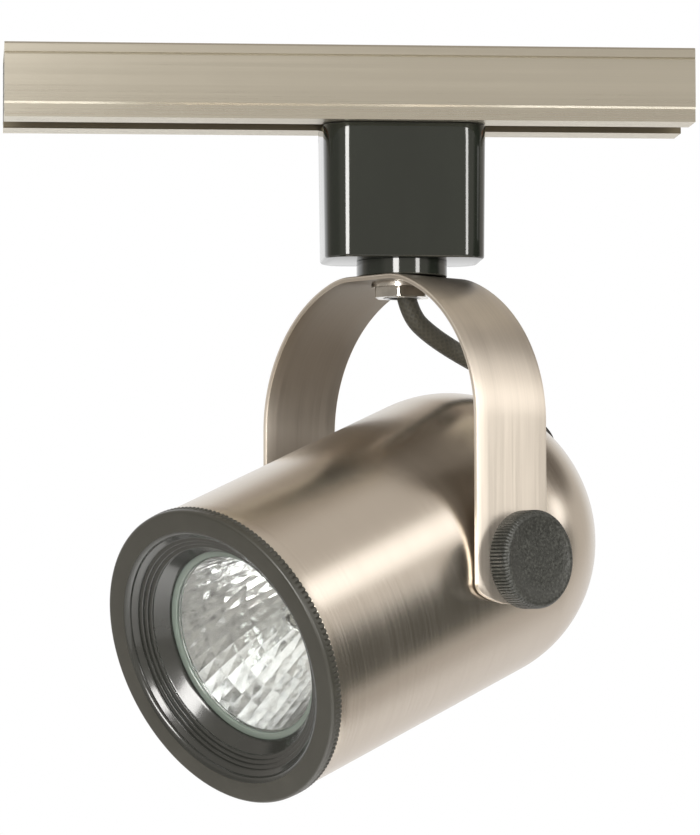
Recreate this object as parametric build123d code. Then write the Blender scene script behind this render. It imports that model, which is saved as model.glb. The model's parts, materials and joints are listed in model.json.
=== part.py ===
from build123d import *
from math import cos, hypot, pi, radians, sin, sqrt, tan
import os

# Track spotlight: a short length of three-wire track, an adapter that hangs in it, a swivelling
# yoke and a tilting lamp head. Millimetres. Origin: the centre of the track's ceiling face.
# +X runs along the track, +Z points up into the ceiling.

# ---- driving dimensions -------------------------------------------------------------------
track_length = 176.0
track_width = 35.6
track_height = 19.0
track_wall = 1.6
slot_width = 12.6
screw_hole_radius = 2.25
screw_hole_spacing = 110.0

pan_x = 14.2                  # swivel axis, along the track from its middle
pan_angle = 51.8              # the head's heading at rest, turned clockwise from straight ahead
tilt_angle = 21.2             # how far the head's nose points down at rest

housing_length = 41.8         # adapter housing, along the track, at its top
housing_depth = 28.6
housing_top = -19.3
housing_bottom = -53.6
housing_corner = 7.2
housing_draft = 0.7
housing_wall = 2.0
housing_floor = 2.2

boss_half_length = 12.4       # the part of the adapter that stands up into the track
boss_half_width = 5.2
boss_top = -4.0
lead_radius = 0.8
lead_ring = 1.35              # the three leads stand this far off the stem's axis

collar_radius = 11.65
stem_radius = 4.85
stem_bore = 3.5
running_gap = 0.08

pivot_z = -131.3              # tilt axis, below the ceiling face
yoke_span = 79.4              # outer face to outer face
yoke_rise = 73.5              # tilt axis to the top of the strap
yoke_thickness = 1.3
yoke_width = 24.6
yoke_flat = 7.0               # half of the level stretch at the top
yoke_foot = 11.0              # how far the legs reach below the tilt axis
washer_thickness = 1.2
nut_thickness = 2.6

barrel_radius = 38.0
barrel_wall = 1.25
barrel_front = -64.5          # along the barrel's own axis, the tilt axis is 0, rearward is +
dome_centre = 18.5
dome_flat = 2.5
ring_radius = 38.6
ring_front = -67.7
ring_back = -64.55
lamp_front = -58.7
lamp_radius = 25.5

knob_radius = 12.3
stud_radius = 2.5
bush_radius = 3.9
cable_radius = 2.5

# ---- places: each moving group is modelled about its own axes, then put where it rests ----
PAN = Pos(pan_x, 0, 0)
YOKE = Pos(pan_x, 0, pivot_z) * Rot(Z=-pan_angle)     # local X is the tilt axis
HEAD = YOKE * Rot(X=tilt_angle)                       # local Y is the barrel's axis
yoke_top = pivot_z + yoke_rise
yoke_underside = yoke_top - yoke_thickness
nut_top = yoke_underside - 0.05 - washer_thickness - 0.05
stem_end = nut_top - nut_thickness - 0.15

os.makedirs("parts", exist_ok=True)


# ---- helpers ------------------------------------------------------------------------------
def save(name, *solids):
    """Write one named sub-part, of one or more solids."""
    shapes = [solid for shape in solids for solid in shape.solids()]
    export_step(shapes[0] if len(shapes) == 1 else Compound(children=shapes), f"parts/{name}.step")


def block(x0, x1, y0, y1, z0, z1):
    """A box between two corners."""
    middle = Pos((x0 + x1) / 2, (y0 + y1) / 2, (z0 + z1) / 2)
    return middle * Box(abs(x1 - x0), abs(y1 - y0), abs(z1 - z0))


def rod(radius, z0, z1):
    """An upright cylinder between two heights."""
    return Pos(0, 0, (z0 + z1) / 2) * Cylinder(radius, z1 - z0)


def axle(radius, x0, x1):
    """A cylinder along X."""
    return Pos((x0 + x1) / 2, 0, 0) * Rot(Y=90) * Cylinder(radius, abs(x1 - x0))


def washer(outer, inner, z0, z1):
    return rod(outer, z0, z1) - rod(inner, z0 - 1, z1 + 1)


def turned(points):
    """A solid of revolution about Y from (radius, y) points."""
    return revolve(make_face(Polyline(*points, close=True)), Axis.Y)


def mirrored(shape):
    """The same shape on the other side of the lamp head."""
    return mirror(shape, Plane.YZ)


def extruded_x(points, length):
    """A track section from (y, z) points, centred on the origin."""
    return extrude(Plane.YZ * make_face(Polyline(*points, close=True)), length / 2, both=True)


def tube(points, radius, radii=None):
    """A round wire through the points, with an arc at each corner."""
    vectors = [Vector(*point) for point in points]
    if radii is None:
        radii = corner_radii(vectors)
    path = FilletPolyline(*vectors, radius=radii)
    start = Plane(origin=path @ 0, z_dir=path % 0)
    return sweep(start * Circle(radius), path=path), path


def corner_radii(vectors):
    """The largest arc each corner leaves room for."""
    radii = []
    for before, here, after in zip(vectors, vectors[1:], vectors[2:]):
        run_in, run_out = here - before, after - here
        turn = radians(run_in.get_angle(run_out))
        radii.append(0.45 * min(run_in.length, run_out.length) / tan(turn / 2))
    return radii


def screw(head_radius, head_height, shank_radius, length):
    """A pan-head screw standing on its tip side: head above z = 0, shank below, with a cross slot."""
    head = rod(head_radius, 0, head_height)
    head = fillet(head.edges().group_by(Axis.Z)[-1], head_height * 0.45)
    for angle in (0, 90):
        head -= Rot(Z=angle) * block(-head_radius * 0.6, head_radius * 0.6, -0.3, 0.3, head_height * 0.5, 9)
    return head + rod(shank_radius, -length, 0)


def hex_nut(across_flats, bore, z0, z1):
    nut = extrude(Pos(0, 0, z0) * RegularPolygon(across_flats / 2, 6, major_radius=False), z1 - z0)
    dome = Pos(0, 0, (z0 + z1) / 2) * Sphere(hypot(across_flats * 0.56, (z1 - z0) / 2))
    return nut & dome - rod(bore, z0 - 1, z1 + 1)


# ---- the track ----------------------------------------------------------------------------
def track_channel():
    half, wall, lip = track_width / 2, track_wall, slot_width / 2
    ridge, inset, groove = 15.2, 0.5, 2.6
    side = [(lip, -track_height), (half - inset, -track_height), (half - inset, -ridge - 0.5), (half, -ridge),
            (half, -groove - 0.6), (half - 0.4, -groove), (half, -groove + 0.1), (half, -0.5),
            (half - 0.5, 0)]
    outer = side + [(-y, z) for y, z in reversed(side)]
    floor = -track_height + wall
    inner = [(-lip, floor), (-half + wall, floor), (-half + wall, -wall), (half - wall, -wall),
             (half - wall, floor), (lip, floor)]
    channel = extruded_x(outer + inner, track_length)
    for end in (-0.5, 0.5):
        channel -= Pos(end * screw_hole_spacing, 0, 0) * rod(screw_hole_radius, -wall - 1, 1)
    return channel


insulator_face = 12.6         # inner faces of the two insulators, from the middle of the track
insulator_back = track_width / 2 - track_wall - 0.05
conductor_face = 13.0
groove_half = 2.2
upper_line = -6.2
lower_line = -12.0


def track_insulator(heights):
    strip = block(-track_length / 2, track_length / 2, insulator_face, insulator_back,
                  -track_height + track_wall + 0.05, -track_wall - 0.05)
    for z in heights:
        strip -= block(-track_length, track_length, 0, conductor_face + 1.15, z - groove_half, z + groove_half)
    return strip


def track_conductor(z):
    reach = track_length / 2 - 4
    return block(-reach, reach, conductor_face, conductor_face + 1.1, z - 2, z + 2)


save("track_channel", track_channel())
save("track_insulator_rear", track_insulator([upper_line, lower_line]))
save("track_insulator_front", mirror(track_insulator([upper_line]), Plane.XZ))
save("line_conductor", track_conductor(upper_line))
save("ground_conductor", track_conductor(lower_line))
save("neutral_conductor", mirror(track_conductor(upper_line), Plane.XZ))


# ---- the adapter --------------------------------------------------------------------------
tab_x0, tab_x1 = 13.4, 16.6   # the lock tab, beside the boss
tab_travel = 3.0
spring_seat = -36.0
spring_top = -27.0
screw_posts = [(-15.0, 8.6), (14.4, -8.6), (-15.0, -8.6)]


def tapered_block(inset, top, bottom):
    """The housing's outline, drawn in by the inset, narrowing downward."""
    outline = RectangleRounded(housing_length - 2 * inset, housing_depth - 2 * inset, housing_corner - inset)
    return extrude(Plane((0, 0, top), z_dir=(0, 0, -1)) * outline, top - bottom, taper=housing_draft)


def adapter_housing():
    shell = tapered_block(0, housing_top, housing_bottom)
    shell = fillet(shell.edges().group_by(Axis.Z)[0], 0.7)
    shell -= tapered_block(housing_wall, housing_top + 0.1, housing_bottom + housing_floor)
    for x, y in screw_posts:
        shell += Pos(x, y, 0) * rod(2.6, housing_bottom + 1, housing_top - 2.1)
        shell -= Pos(x, y, 0) * rod(1.25, -31, 0)
    shell += block(tab_x0 - 0.6, housing_length / 2 - 1.5, -3.2, 3.2, spring_seat - 2, spring_seat)
    shell -= rod(stem_radius, -60, -50)
    shell -= block(tab_x0 - 0.2, tab_x1 + 0.2, 8, 20, -26.7 - tab_travel, -23.7)
    return shell


def adapter_cover():
    """The plate that closes the housing, with the boss that stands up through the slot."""
    cover = extrude(Plane((0, 0, housing_top - 2)) * RectangleRounded(
        housing_length - 2 * housing_wall - 0.2, housing_depth - 2 * housing_wall - 0.2,
        housing_corner - housing_wall - 0.1), 2)
    cover += block(-boss_half_length, boss_half_length, -boss_half_width, boss_half_width, housing_top - 8, boss_top)
    cover -= block(-boss_half_length + 2, boss_half_length - 2, -3.2, 3.2, housing_top - 9, housing_top - 2)
    cover -= block(tab_x0 - 0.1, tab_x1 + 0.1, -5.6, 5.6, housing_top - 3, housing_top + 1)
    for x, y in screw_posts:
        cover -= Pos(x, y, 0) * (rod(1.45, -30, 0) + rod(2.4, housing_top - 0.9, 0))
    for x, side, _ in contacts.values():
        cover -= block(x - 2.1, x + 2.1, side * boss_half_width, side * 6.15, -25, -15)
    for x in (-10.5, 10.5):
        cover -= block(x - 1.55, x + 1.55, -9, 9, -17.35, -15.25)
    return cover


contacts = {                  # place along the boss, side of the track, height of the conductor
    "line_contact": (-6.0, 1, upper_line),
    "neutral_contact": (0.0, -1, upper_line),
    "ground_contact": (6.0, 1, lower_line),
}
contact_tail = -34.0


def contact(x, side, z):
    """A bent brass blade: tail in the housing, riser beside the boss, tongue out to the conductor."""
    y0, y1 = boss_half_width + 0.03, boss_half_width + 0.83
    blade = block(x - 2, x + 2, y0, y1, contact_tail, z + 0.4)
    blade += block(x - 2, x + 2, y0, 12.1, z - 0.4, z + 0.4)
    blade += block(x - 2, x + 2, 12.1, 12.9, z - 1.5, z + 1.5)
    return blade if side > 0 else mirror(blade, Plane.XZ)


def locking_bars():
    """Two steel bars through the boss, resting on the track's lips."""
    return [block(x - 1.5, x + 1.5, -11, 11, -17.3, -15.3) for x in (-10.5, 10.5)]


def lock_tab():
    """A sprung tab that fills the slot beside the boss, with a finger pad behind the housing."""
    tab = block(tab_x0, tab_x1, -5.4, 5.4, spring_top, -17.7)
    tab += block(tab_x0, tab_x1, 5.3, 16.2, -26.5, -24.0)
    pad = block(tab_x0 - 2.2, tab_x1 + 2.2, 14.9, 16.6, -27.6, -22.8)
    return tab + fillet(pad.edges(), 0.5)


def lock_spring():
    coil = Helix(pitch=1.5, height=7.8, radius=1.75)
    wire = sweep(Plane(origin=coil @ 0, z_dir=coil % 0) * Circle(0.25), path=coil, is_frenet=True)
    return Pos((tab_x0 + tab_x1) / 2, 0, spring_seat + 0.45) * wire


def adapter_lead(x, side, angle):
    """One insulated lead from the stem up to its contact's tail."""
    a = radians(angle)
    foot_x, foot_y = lead_ring * cos(a), lead_ring * sin(a)
    tail_y = side * (boss_half_width + 0.43)
    points = [(foot_x, foot_y, -48.9), (foot_x, foot_y, -44.5), (0.8 * x + 0.2 * foot_x, 0.75 * tail_y, -40.5),
              (x, tail_y, contact_tail - 0.3)]
    return tube(points, lead_radius)[0]


def swivel_collar():
    """The bearing collar under the housing; its lug meets the yoke's stop tab."""
    collar = rod(collar_radius, yoke_top + 0.05, housing_bottom)
    collar = fillet(collar.edges().group_by(Axis.Z)[0], 0.4)
    lug = Rot(Z=100) * block(collar_radius - 0.6, 13.9, -1.5, 1.5, yoke_top + 0.4, housing_bottom)
    return collar + lug - rod(stem_radius, -70, -40)


def threaded_stem():
    stem = rod(stem_radius, stem_end, -46.5) - rod(stem_bore, -70, -40)
    return chamfer(stem.edges().filter_by(GeomType.CIRCLE).sort_by(SortBy.RADIUS)[-2:], 0.4)


save("adapter_housing", PAN * adapter_housing())
save("adapter_cover", PAN * adapter_cover())
for name, (x, side, z) in contacts.items():
    save(name, PAN * contact(x, side, z))
for name, (x, side, _), angle in zip(("line_lead", "neutral_lead", "ground_lead"), contacts.values(), (120, 240, 0)):
    save(name, PAN * adapter_lead(x, side, angle))
save("locking_bars", *[PAN * bar for bar in locking_bars()])
save("cover_screws", *[PAN * Pos(x, y, housing_top - 0.9) * screw(2.2, 0.85, 1.2, 8) for x, y in screw_posts])
save("lock_tab", PAN * lock_tab())
save("lock_spring", PAN * lock_spring())
save("swivel_collar", PAN * swivel_collar())
save("threaded_stem", PAN * threaded_stem())
save("stem_inner_nut", PAN * hex_nut(13.0, stem_radius, housing_bottom + housing_floor, -48.4))
save("stem_locknut", PAN * Rot(Z=18) * hex_nut(13.0, stem_radius, nut_top - nut_thickness, nut_top))


# ---- the yoke -----------------------------------------------------------------------------
def yoke_outline(inset):
    """The strap's outer outline drawn in by the inset: level top, small arc, wide arc, legs."""
    shoulder, wide_turn = radians(20), radians(70)
    top, half = yoke_rise - inset, yoke_span / 2 - inset
    small = 20.0 - inset
    x1 = yoke_flat + small * sin(shoulder)
    z1 = top - small * (1 - cos(shoulder))
    wide = (half - x1) / (1 - sin(shoulder))
    middle = shoulder + wide_turn / 2
    centre_x, centre_z = x1 - wide * sin(shoulder), z1 - wide * cos(shoulder)
    half_way = (yoke_flat + small * sin(shoulder / 2), top - small * (1 - cos(shoulder / 2)))
    bend = (centre_x + wide * sin(middle), centre_z + wide * cos(middle))
    foot = -yoke_foot - 5
    edges = Line((0, top), (yoke_flat, top)) + ThreePointArc((yoke_flat, top), half_way, (x1, z1))
    edges += ThreePointArc((x1, z1), bend, (half, centre_z)) + Line((half, centre_z), (half, foot))
    edges += Line((half, foot), (0, foot)) + Line((0, foot), (0, top))
    right = make_face(edges)
    return right + mirror(right, Plane.YZ)


def yoke_strap():
    arch = extrude(Plane.XZ * (yoke_outline(0) - yoke_outline(yoke_thickness)), yoke_width, both=True)
    half, corner_z = yoke_width / 2, -yoke_foot + 3.2
    side = Polyline((-half, corner_z), (-half, 90), (half, 90), (half, corner_z))
    foot = ThreePointArc((half, corner_z), (0, -yoke_foot), (-half, corner_z))
    side_view = fillet(make_face(side + foot).vertices().group_by(Axis.Y)[0], 3.5)
    strap = arch & extrude(Plane.YZ * side_view, yoke_span, both=True)
    strap += block(-0.5, 2.5, half - 0.3, half + 1.2, yoke_rise - yoke_thickness, yoke_rise + 2.6)
    strap -= rod(stem_radius + running_gap, 60, 80)
    return strap - axle(stud_radius + running_gap, -60, 60)


# The sleeved cable: down out of the stem, back over the barrel and down into its dome.
cable_route = [(0, 0, 81), (0, 0, 66), (2.58, 10.6, 57), (9, 37, 45.8), (9, 37, 26)]
cable, cable_path = tube(cable_route, cable_radius)
print("cable radii", [round(r, 1) for r in corner_radii([Vector(*p) for p in cable_route])],
      "length", round(cable_path.length, 1), "volume ratio",
      round(cable.volume / (pi * cable_radius ** 2 * cable_path.length), 4))

save("yoke_strap", YOKE * yoke_strap())
save("yoke_washer", PAN * washer(7.8, stem_radius + running_gap, nut_top + 0.05, yoke_underside - 0.05))
save("lamp_cable", YOKE * cable)


# ---- the tilt knobs -----------------------------------------------------------------------
leg_inner = yoke_span / 2 - yoke_thickness
knob_hub = (yoke_span / 2 + 0.1, yoke_span / 2 + 3.4)
knob_face = yoke_span / 2 + 9.8
stud_tip = 33.2


def knob():
    """A plastic thumb knob: narrow hub against the leg, wide rim, shallow dished face."""
    rim = axle(knob_radius, knob_hub[1], knob_face)
    rim = chamfer(rim.edges().filter_by(GeomType.CIRCLE), 0.7)
    rim += axle(7.2, knob_hub[0], knob_hub[1] + 0.5)
    return rim - axle(stud_radius, knob_hub[0] - 1, knob_face - 2.5)


def stud():
    return chamfer(axle(stud_radius, stud_tip, knob_face - 2.5).edges().filter_by(GeomType.CIRCLE), 0.4)


for name, side in (("right", lambda shape: shape), ("left", mirrored)):
    save(f"knob_{name}", HEAD * side(knob()))
    save(f"knob_stud_{name}", HEAD * side(stud()))


# ---- the lamp head ------------------------------------------------------------------------
def barrel_solid(grow, front):
    """The barrel's round-backed form, grown by so much all round."""
    radius, corner = barrel_radius + grow, barrel_radius - dome_flat + grow
    half = corner * sqrt(0.5)
    outline = Polyline((0, front), (radius, front), (radius, dome_centre))
    outline += ThreePointArc((radius, dome_centre), (dome_flat + half, dome_centre + half),
                             (dome_flat, dome_centre + corner))
    outline += Polyline((dome_flat, dome_centre + corner), (0, dome_centre + corner), (0, front))
    return revolve(make_face(outline), Axis.Y)


grommet_place = Rot(X=-tilt_angle) * Pos(cable_route[-1][0], cable_route[-1][1], 0)


def barrel_shell():
    shell = barrel_solid(0, barrel_front) - barrel_solid(-barrel_wall, barrel_front - 1)
    shell -= axle(stud_radius + running_gap, -60, 60)
    return shell - grommet_place * rod(4.15, 20, 60)


def cable_grommet():
    """A rubber bush in the dome: a wide flange outside, a neck through the wall, a lip inside."""
    flange = grommet_place * rod(6.6, 20, 60) & (barrel_solid(1.4, 0) - barrel_solid(0.03, -1))
    neck = grommet_place * rod(4.1, 34.0, 39.8)
    lip = grommet_place * rod(5.2, 20, 60) & (barrel_solid(-barrel_wall - 0.03, 0) - barrel_solid(-2.4, -1))
    return flange + neck + lip - grommet_place * rod(cable_radius + 0.6, 20, 60)


def pivot_insert():
    """A threaded bush behind the barrel's wall, for the knob's stud."""
    return axle(bush_radius, 32.4, 36.4) - axle(stud_radius + running_gap, 20, 50)


def friction_washer():
    return axle(6.4, 38.04, leg_inner - 0.04) - axle(stud_radius + running_gap, 30, 50)


def trim_ring():
    """A screw-in baffle ring: broad lip, rounded throat, four fine steps, a lip over the lamp."""
    steps, step_r, step_y = 4, 1.05, 0.65
    throat_radius, throat_front = 31.6, ring_front + 2.4
    lip_radius, lip_front, lip_back = 24.9, lamp_front - 0.9, lamp_front - 0.15
    thread_radius, thread_end = 36.67, ring_back + 7.25
    front = [(ring_radius, ring_front + 0.7), (ring_radius - 0.6, ring_front), (34.6, ring_front + 0.15),
             (32.8, ring_front + 0.9), (throat_radius, throat_front)]
    throat = [(throat_radius - step_r * (i // 2 + i % 2), throat_front + step_y * (i // 2))
              for i in range(1, 2 * steps + 1)]
    lip = [(lip_radius, lip_front), (lip_radius, lip_back), (lip_radius + 1.6, lip_back)]
    back = [(28.9, lip_back - 1.3), (32.6, ring_front + 4.3), (35.5, ring_front + 3.8),
            (35.5, thread_end), (thread_radius, thread_end), (thread_radius, ring_back), (ring_radius, ring_back)]
    return turned(front + throat + lip + back)


def lamp_reflector():
    """A pressed-glass reflector bowl with a bead round its mouth."""
    depth, neck = 31.0, 7.2
    bowl = [(neck + (lamp_radius - 3.2 - neck) * (k / 10) ** 0.5, lamp_front + 2 + depth * (1 - k / 10))
            for k in range(10, -1, -1)]
    outside = [(r + 1.6, y) for r, y in reversed(bowl)]
    rim = [(lamp_radius, lamp_front + 2.4), (lamp_radius, lamp_front + 0.4), (lamp_radius - 0.4, lamp_front),
           (23.3, lamp_front), (23.3, lamp_front + 1.3), (lamp_radius - 3.2, lamp_front + 1.3)]
    return turned(bowl + outside + rim)


def lamp_glass():
    return turned([(0, lamp_front + 0.2), (23.2, lamp_front + 0.2), (23.2, lamp_front + 1.25), (0, lamp_front + 1.25)])


def lamp_base():
    """The ceramic cap cemented to the neck of the reflector."""
    return turned([(0, -24.4), (7.1, -24.4), (7.1, -25.6), (9.0, -25.6), (9.4, -22.0), (9.4, -13.6),
                   (8.8, -12.8), (0, -12.8)])


def lamp_burner():
    """The halogen capsule on the lamp's axis: a round bulb on a flat pinch."""
    bulb = turned([(0, -43.0), (1.6, -42.2), (3.0, -40.4), (3.4, -38.0), (3.4, -33.0), (2.6, -31.4), (0, -31.0)])
    return bulb + block(-3.2, 3.2, -31.6, -24.45, -1.3, 1.3)


pin_spacing = 10.0


def lamp_pins():
    """Two headed contact pins of the twist-lock base."""
    pin = turned([(0, -12.75), (1.5, -12.75), (1.5, -8.6), (2.5, -8.6), (2.5, -5.8), (0, -5.8)])
    return [Pos(side * pin_spacing / 2, 0, 0) * pin for side in (-1, 1)]


holder_back = 4.0


def lampholder():
    """The ceramic lampholder, with a curved keyhole slot for each pin."""
    body = turned([(0, -12.6), (12.6, -12.6), (13.0, -12.2), (13.0, holder_back - 0.5), (12.5, holder_back),
                   (0, holder_back)])
    for side in (0, 180):
        for step in range(-4, 29, 4):
            spot = Rot(Y=side + step) * Pos(pin_spacing / 2, 0, 0) * Rot(X=90)
            body -= spot * rod(2.75, 4.9, 14)
    for side in (-1, 1):
        body -= Pos(side * 9.5, 0, 0) * Rot(X=-90) * rod(1.2, -2.6, 9)
    return body


def lampholder_contacts():
    """Two spring contact plates at the bottom of the slots."""
    return [Pos(side * 5, 0, 0) * block(-2.2, 2.2, -5.6, -4.95, -1.6, 1.6) for side in (-1, 1)]


def lampholder_bracket():
    """A steel strap across the barrel: its ends turn forward and sit on the threaded bushes."""
    base, reach, half = holder_back + 0.02, 35.6, 8.0
    strap = block(-reach, reach, base, base + 1.2, -half, half)
    for side in (-1, 1):
        strap += block(side * reach, side * (reach - 1.2), -8.0, base + 1.2, -half, half)
        strap -= Pos(side * 9.5, 0, 0) * Rot(X=-90) * rod(1.7, -9, 9)
        strap -= Pos(side * 5.0, 0, 0) * Rot(X=-90) * rod(1.5, -9, 9)
    strap -= Pos(24, 0, 0) * Rot(X=-90) * rod(1.5, -9, 9)
    return strap - axle(bush_radius + 0.05, -40, 40)


def socket_lead(start, end):
    """A lead inside the barrel, from the end of the cable to its terminal."""
    middle = [(start[0], start[1] - 5, start[2] - 1.0), (end[0], end[1] + 12, end[2] + 5)]
    return tube([start, *middle, end], 0.9)[0]


bracket_back = holder_back + 1.22
cable_end = (Rot(X=-tilt_angle) * Pos(*cable_route[-1])).position
lead_start = (cable_end.X, cable_end.Y - 2.6, cable_end.Z - 2.6)

save("barrel_shell", HEAD * barrel_shell())
save("cable_grommet", HEAD * cable_grommet())
save("pivot_inserts", HEAD * pivot_insert(), HEAD * mirrored(pivot_insert()))
save("friction_washers", HEAD * friction_washer(), HEAD * mirrored(friction_washer()))
save("lampholder", HEAD * lampholder())
save("lampholder_contacts", *[HEAD * plate for plate in lampholder_contacts()])
save("lampholder_bracket", HEAD * lampholder_bracket())
save("lampholder_screws",
     *[HEAD * Pos(x, bracket_back, 0) * Rot(X=-90) * screw(2.6, 1.8, 1.15, 5.5) for x in (-9.5, 9.5)])
save("ground_screw", HEAD * Pos(24, bracket_back, 0) * Rot(X=-90) * screw(2.8, 1.8, 1.45, 4))
for name, offset, end in (("socket_lead_line", -1.9, (-5.0, 4.3, 0)), ("socket_lead_neutral", 0.0, (5.0, 4.3, 0))):
    start = (lead_start[0] + offset, lead_start[1], lead_start[2])
    save(name, HEAD * socket_lead(start, end))
save("trim_ring", HEAD * trim_ring())
save("lamp_reflector", HEAD * lamp_reflector())
save("lamp_glass", HEAD * lamp_glass())
save("lamp_burner", HEAD * lamp_burner())
save("lamp_base", HEAD * lamp_base())
save("lamp_pins", *[HEAD * pin for pin in lamp_pins()])
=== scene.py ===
import json
from math import cos, pi, radians, sin, sqrt, tan

import bmesh
import bpy
from mathutils import Matrix, Vector


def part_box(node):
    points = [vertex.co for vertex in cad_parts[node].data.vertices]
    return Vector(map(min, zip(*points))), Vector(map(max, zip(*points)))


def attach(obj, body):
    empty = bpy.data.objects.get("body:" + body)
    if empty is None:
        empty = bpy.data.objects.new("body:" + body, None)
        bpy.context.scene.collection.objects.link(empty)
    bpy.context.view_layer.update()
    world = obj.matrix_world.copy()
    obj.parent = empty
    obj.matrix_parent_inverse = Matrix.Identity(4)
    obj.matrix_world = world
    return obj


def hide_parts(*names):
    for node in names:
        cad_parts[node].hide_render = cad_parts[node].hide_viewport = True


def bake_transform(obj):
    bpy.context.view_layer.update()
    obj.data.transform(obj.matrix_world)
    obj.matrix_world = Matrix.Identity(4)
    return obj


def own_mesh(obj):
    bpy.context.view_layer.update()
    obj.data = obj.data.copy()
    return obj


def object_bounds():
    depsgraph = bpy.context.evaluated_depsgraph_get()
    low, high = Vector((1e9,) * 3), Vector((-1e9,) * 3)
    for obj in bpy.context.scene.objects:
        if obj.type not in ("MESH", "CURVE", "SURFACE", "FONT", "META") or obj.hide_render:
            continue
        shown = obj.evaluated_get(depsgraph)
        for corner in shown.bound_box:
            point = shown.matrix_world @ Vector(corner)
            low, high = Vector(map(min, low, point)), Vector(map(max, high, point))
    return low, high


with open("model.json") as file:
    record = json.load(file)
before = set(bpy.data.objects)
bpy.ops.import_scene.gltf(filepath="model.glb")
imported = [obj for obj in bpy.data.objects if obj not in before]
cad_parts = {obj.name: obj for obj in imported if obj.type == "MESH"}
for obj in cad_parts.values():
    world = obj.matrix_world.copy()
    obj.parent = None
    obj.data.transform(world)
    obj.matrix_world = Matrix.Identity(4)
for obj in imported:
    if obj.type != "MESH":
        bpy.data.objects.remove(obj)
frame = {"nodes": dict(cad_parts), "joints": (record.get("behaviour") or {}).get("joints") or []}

cad_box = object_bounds()
MM = 0.001
MIX_A, MIX_B, MIX_RESULT = 6, 7, 2      # the colour sockets of a mix node

# ---------------------------------------------------------------- frames taken from the joints
joints = {joint["name"]: joint for joint in frame["joints"]}
pivot = Vector(joints["tilt"]["pos_m"])
tilt_axis = Vector(joints["tilt"]["axis"]).normalized()
barrel_axis = Vector(joints["trim_ring_turn"]["axis"]).normalized()
up = Vector((0, 0, 1))


def axes_matrix(origin, x, y, z):
    """The matrix that puts local axes x, y, z at an origin."""
    matrix = Matrix((x, y, z)).transposed().to_4x4()
    matrix.translation = origin
    return matrix


HEAD = axes_matrix(pivot, tilt_axis, barrel_axis, tilt_axis.cross(barrel_axis))
YOKE = axes_matrix(pivot, tilt_axis, up.cross(tilt_axis), up)
PAN = Matrix.Translation(Vector((pivot.x, 0, 0)))


def head_box(node):
    """Lowest and highest corner of a CAD node along the lamp head's own axes."""
    inverse = HEAD.inverted()
    points = [inverse @ v.co for v in frame["nodes"][node].data.vertices]
    return [[pick(p[i] for p in points) for i in range(3)] for pick in (min, max)]


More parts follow.
